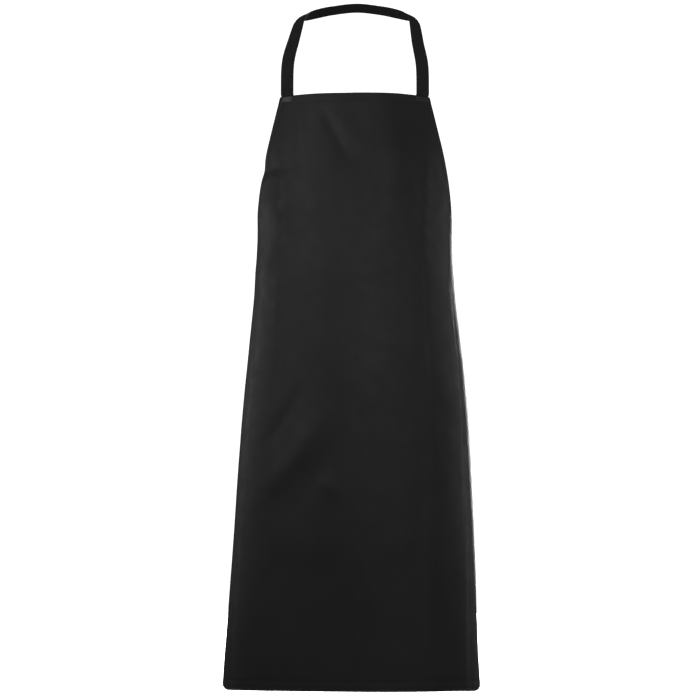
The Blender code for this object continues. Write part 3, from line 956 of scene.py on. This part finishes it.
def ribbed_webbing():
    """Black webbing: fine ribs across the strap, threads along it and fuzzy, lighter selvedges."""
    material, tree, shader = new_material("ribbed_webbing", (0.012, 0.012, 0.013), 0.85, 0.03, 0.18)
    place = pattern_place(tree)
    parts = add_node(tree, "ShaderNodeSeparateXYZ", {"Vector": place}).outputs
    ribs = thread_rows(tree, place, "Y", 0.0011, 0.4, Detail=1.0)
    warp = thread_rows(tree, place, "X", 0.0015, 0.2, Detail=1.0)
    weave = math_value(tree, "MULTIPLY_ADD", ribs, warp, 0.25)
    edge = math_value(tree, "ABSOLUTE", parts["X"])
    worn = ramp(tree, edge, STRAP_WIDTH * 0.42, STRAP_WIDTH * 0.5, 0.0, 1.0)
    fuzz = noise_value(tree, object_place(tree), 900.0, 2.0)
    shade = math_value(tree, "MULTIPLY", worn, fuzz)
    color = mix_colors(tree, shade, (0.0145, 0.0145, 0.0152), (0.032, 0.032, 0.033))
    tree.links.new(color, shader.inputs["Base Color"])
    tree.links.new(ramp(tree, fuzz, 0.3, 0.7, 0.80, 0.92), shader.inputs["Roughness"])
    tree.links.new(bump(tree, weave, 0.8, 0.00035), shader.inputs["Normal"])
    return material


def twisted_thread(name, dark, light):
    """Sewing thread: a tight twist and slight variation along it."""
    material, tree, shader = new_material(name, light, 0.7, 0.05, 0.2)
    place = object_place(tree)
    twist = noise_value(tree, place, 2600.0, 1.0)
    tree.links.new(mix_colors(tree, twist, dark, light), shader.inputs["Base Color"])
    tree.links.new(bump(tree, twist, 0.5, 0.0001), shader.inputs["Normal"])
    tree.links.new(ramp(tree, twist, 0.3, 0.7, 0.5, 0.7), shader.inputs["Roughness"])
    return material


def lead_vinyl():
    """Dull grey vinyl loaded with metal powder: cloudy and faintly speckled."""
    material, tree, shader = new_material("lead_vinyl_sheet", (0.055, 0.058, 0.062), 0.6)
    place = object_place(tree)
    cloud = noise_value(tree, place, 18.0, 5.0)
    speck = noise_value(tree, place, 1500.0, 1.0)
    color = mix_colors(tree, cloud, (0.045, 0.048, 0.052), (0.070, 0.073, 0.078))
    tree.links.new(color, shader.inputs["Base Color"])
    tree.links.new(ramp(tree, cloud, 0.3, 0.7, 0.5, 0.7), shader.inputs["Roughness"])
    tree.links.new(bump(tree, speck, 0.3, 0.0001), shader.inputs["Normal"])
    return material


# Stage, light and camera.


def backdrop():
    """A round pale floor that sweeps up into a wall. It glows a little, and only the camera sees it."""
    floor_z = cad_low.z - FLOOR_GAP
    floor_radius = STAGE_RADIUS - STAGE_SWEEP
    profile = [(0.01, floor_z), (floor_radius, floor_z)]
    for turn in np.radians(np.linspace(0, 90, 13)):
        profile.append((
            STAGE_RADIUS - STAGE_SWEEP * (1 - math.sin(turn)), floor_z + STAGE_SWEEP * (1 - math.cos(turn)),
        ))
    profile.append((STAGE_RADIUS, floor_z + STAGE_HEIGHT))
    around = np.linspace(0, 2 * math.pi, STAGE_SIDES, endpoint=False)
    points = [(r * math.cos(a), r * math.sin(a), z) for r, z in profile for a in around]
    rings = np.arange(len(points)).reshape(len(profile), STAGE_SIDES).tolist()
    faces = [tuple(rings[0])]
    for first, second in zip(rings, rings[1:]):
        faces += loop_faces(first, second)
    sweep = mesh_object("backdrop", points, faces)
    sweep.data.shade_smooth()
    material, _, shader = new_material("pale_backdrop", (0.93, 0.93, 0.93), 0.9, 0.0, 0.1)
    shader.inputs["Emission Color"].default_value = (1.0, 1.0, 1.0, 1.0)
    shader.inputs["Emission Strength"].default_value = STAGE_GLOW
    sweep.data.materials.append(material)
    sweep.visible_diffuse = False
    sweep.visible_glossy = False
    sweep.visible_shadow = False


def add_light(name, place, target, width, height, watts):
    """A soft box that faces a target. The camera doesn't see it."""
    data = bpy.data.lights.new(name, "AREA")
    data.shape = "RECTANGLE"
    data.size, data.size_y, data.energy = width, height, watts
    light = bpy.data.objects.new(name, data)
    light.location = place
    light.rotation_euler = (Vector(target) - Vector(place)).to_track_quat("-Z", "Y").to_euler()
    light.visible_camera = False
    bpy.context.scene.collection.objects.link(light)


def studio_light():
    """Soft boxes: a key, a front and a fill, then strips and sides for the rims, a top and a back."""
    chest = Vector((0, FRONT_Y, BIB_Z - 0.25))
    waist = Vector((0, FRONT_Y, BIB_Z - 0.45))
    add_light("key", chest + Vector((-1.15, -1.05, 0.30)), chest, 0.9, 0.9, KEY_WATTS)
    add_light("front", waist + Vector((0.25, -1.50, 0.20)), waist, 0.8, 0.8, FRONT_WATTS)
    add_light("fill", waist + Vector((1.50, -1.60, 0.30)), waist, 0.9, 1.6, FILL_WATTS)
    add_light("left_strip", waist + Vector((-1.6, 1.0, 0.10)), waist, 0.5, 0.9, LEFT_STRIP_WATTS)
    add_light("right_strip", waist + Vector((1.6, 1.0, -0.05)), waist, 0.5, 1.2, RIGHT_STRIP_WATTS)
    add_light("top", chest + Vector((0, -0.9, 1.8)), chest, 2.0, 1.0, TOP_WATTS)
    add_light("left_side", waist + Vector((-1.7, 0.1, 0.15)), waist, 0.5, 1.0, LEFT_SIDE_WATTS)
    add_light("right_side", waist + Vector((1.7, 0.1, 0.10)), waist, 0.5, 1.2, RIGHT_SIDE_WATTS)
    add_light("back", waist + Vector((0.5, 2.8, -0.15)), waist, 1.6, 1.2, BACK_WATTS)
    world = bpy.data.worlds.new("studio")
    bpy.context.scene.world = world
    world.use_nodes = True
    background = world.node_tree.nodes["Background"]
    background.inputs["Color"].default_value = (1.0, 1.0, 1.0, 1.0)
    background.inputs["Strength"].default_value = ROOM_GLOW


def front_camera():
    """A level camera straight in front at half height, with a long lens."""
    data = bpy.data.cameras.new("camera")
    data.lens = data.sensor_width * CAMERA_DISTANCE / SEEN_WIDTH
    camera = bpy.data.objects.new("camera", data)
    camera.location = (CAMERA_X, FRONT_Y - CAMERA_DISTANCE, BIB_Z - CAMERA_DROP)
    camera.rotation_euler = (math.radians(90), 0, 0)
    bpy.context.scene.collection.objects.link(camera)
    bpy.context.scene.camera = camera
    bpy.context.scene.view_settings.view_transform = "Standard"


# Sewing.


def sewn_lines(drape, thread):
    """Stitches that hold the turned edges, as seen on the cover and on the tapes behind it."""
    back = TAPE_AT + TAPE + 0.0008
    for edge in ("top", "left_armhole", "right_armhole", "left_side", "right_side", "hem"):
        inset = HEM_SEAM_INSET if edge == "hem" else SEAM_INSET
        path = edge_path(drape, edge, inset, STITCH_PITCH)[2:-2]
        stitch_line(f"{edge}_stitches", drape, path, 0.0, 1.0, thread)
        stitch_line(f"{edge}_inner_stitches", drape, path, back, -1.0, thread)


def strap_tacks(drape, thread):
    """The thread that holds the strap's ends: a dense patch at the left, two lines at the right."""
    reach = drape.strap_across()
    left = tack_grid(np.array([-reach, TACK_DROP]), TACK_WIDTH, TACK_HEIGHT, 13)
    stitch_line("left_tack_thread", drape, left, 0.0, 1.0, thread, ["left_strap_tack"])
    for name, sign in (("upper", -1), ("lower", 1)):
        across = np.linspace(reach - TACK_WIDTH * 0.56, reach + TACK_WIDTH * 0.44, 9)
        drop = TACK_DROP + sign * STITCH_LINE_PITCH / 2
        line = np.stack([across, np.full_like(across, drop)], axis=1)
        node = f"right_strap_stitch_{name}"
        stitch_line(
            f"{node}_thread", drape, line, 0.0, 1.0, thread, [node], TACK_THREAD_RADIUS,
        )


def tie_tacks(drape, thread):
    """A zigzag of thread across each tie's sewn end."""
    for side, sign in (("left", -1), ("right", 1)):
        drop = BIB_Z - TIE_PIVOTS[side].z
        center = np.array([sign * (float(drape.half_arc(drop)) - TIE_TAB_LENGTH / 2), drop])
        zigzag = tack_grid(center, TACK_HEIGHT, STRAP_WIDTH * 0.86, 15)
        name, node = f"{side}_tie_thread", f"{side}_tie_tack"
        depth = SEWN_ON_AT + STRAP_THICKNESS
        stitch_line(name, drape, zigzag, depth, -1.0, thread, [node])


def rectangle_path(left, right, top, bottom):
    """Stitch places round a rectangle of the flat pattern, from its upper left corner."""
    corners = [(left, top), (right, top), (right, bottom), (left, bottom), (left, top)]
    sides = []
    for first, second in zip(corners, corners[1:]):
        stitches = max(2, round(math.dist(first, second) / STITCH_PITCH))
        sides.append(np.linspace(first, second, stitches, endpoint=False))
    return np.concatenate(sides)


def anchor_patches(drape, material, thread):
    """A patch of cover cloth over each sewn end of the neck strap, stitched round its border."""
    half_width = STRAP_WIDTH / 2 + PATCH_MARGIN
    top, bottom = PATCH_MARGIN, STRAP_END_LENGTH + PATCH_MARGIN
    for side, sign in (("left", -1), ("right", 1)):
        middle = sign * drape.strap_across()
        across, drop = np.meshgrid(
            middle + np.linspace(-half_width, half_width, 33), np.linspace(top, bottom, 45),
        )
        to_border = np.minimum(half_width - np.abs(across - middle), np.minimum(drop - top, bottom - drop))
        depth = SEWN_ON_AT + STRAP_THICKNESS * ease(to_border, 0.4 * PATCH_MARGIN, 1.1 * PATCH_MARGIN)
        front, _ = drape.lay(across, drop, depth)
        back, _ = drape.lay(across, drop, depth + COVER)
        pattern = np.stack([across, drop], axis=-1)
        add_piece(
            f"{side}_anchor_cloth", [front, back], slab_faces(*across.shape), material, "panel",
            [f"{side}_anchor_patch"], [pattern, pattern],
        )
        inset = 0.3 * PATCH_MARGIN
        reach = half_width - inset
        path = rectangle_path(middle - reach, middle + reach, top + inset, bottom - inset)
        stitch_line(
            f"{side}_anchor_stitches", drape, path, SEWN_ON_AT + COVER, -1.0, thread,
        )


def build():
    """Makes every piece of the apron, from the cover inward."""
    drape = Drape()
    cloth, lead = coated_cloth(), lead_vinyl()
    lining_cloth = woven(
        "lining_cloth", (0.013, 0.013, 0.015), (0.024, 0.024, 0.026), 0.0011, 0.0002, 0.75, 0.15,
    )
    strap_cloth = ribbed_webbing()
    black_thread = twisted_thread("black_thread", (0.008, 0.008, 0.008), (0.018, 0.018, 0.018))
    grey_thread = twisted_thread("grey_thread", (0.06, 0.06, 0.06), (0.15, 0.15, 0.15))
    front_cover(drape, cloth)
    for which, depth in (("outer", OUTER_SHEET_AT), ("inner", INNER_SHEET_AT)):
        name, node = f"{which}_lead_vinyl", f"{which}_lead_sheet"
        thin_layer(name, drape, TAPE_WIDTH, depth, SHEET, lead, node)
    thin_layer("lining_sheet", drape, LINING_INSET, LINING_AT, LINING, lining_cloth, "lining")
    for edge, node, lap in (
        ("left_side", "left_side_tape", 0), ("right_side", "right_side_tape", 0),
        ("left_armhole", "left_armhole_tape", TAPE_LAP), ("right_armhole", "right_armhole_tape", TAPE_LAP),
        ("top", "top_edge_tape", 2 * TAPE_LAP), ("hem", "bottom_hem_tape", 2 * TAPE_LAP),
    ):
        edge_tape(drape, edge, cloth, node, TAPE_AT + lap)
    neck_strap(drape, strap_cloth)
    for side, sign in (("left", -1), ("right", 1)):
        waist_tie(side, sign, drape, strap_cloth)
    sewn_lines(drape, black_thread)
    strap_tacks(drape, grey_thread)
    tie_tacks(drape, black_thread)
    anchor_patches(drape, cloth, black_thread)


build()
backdrop()
studio_light()
front_camera()
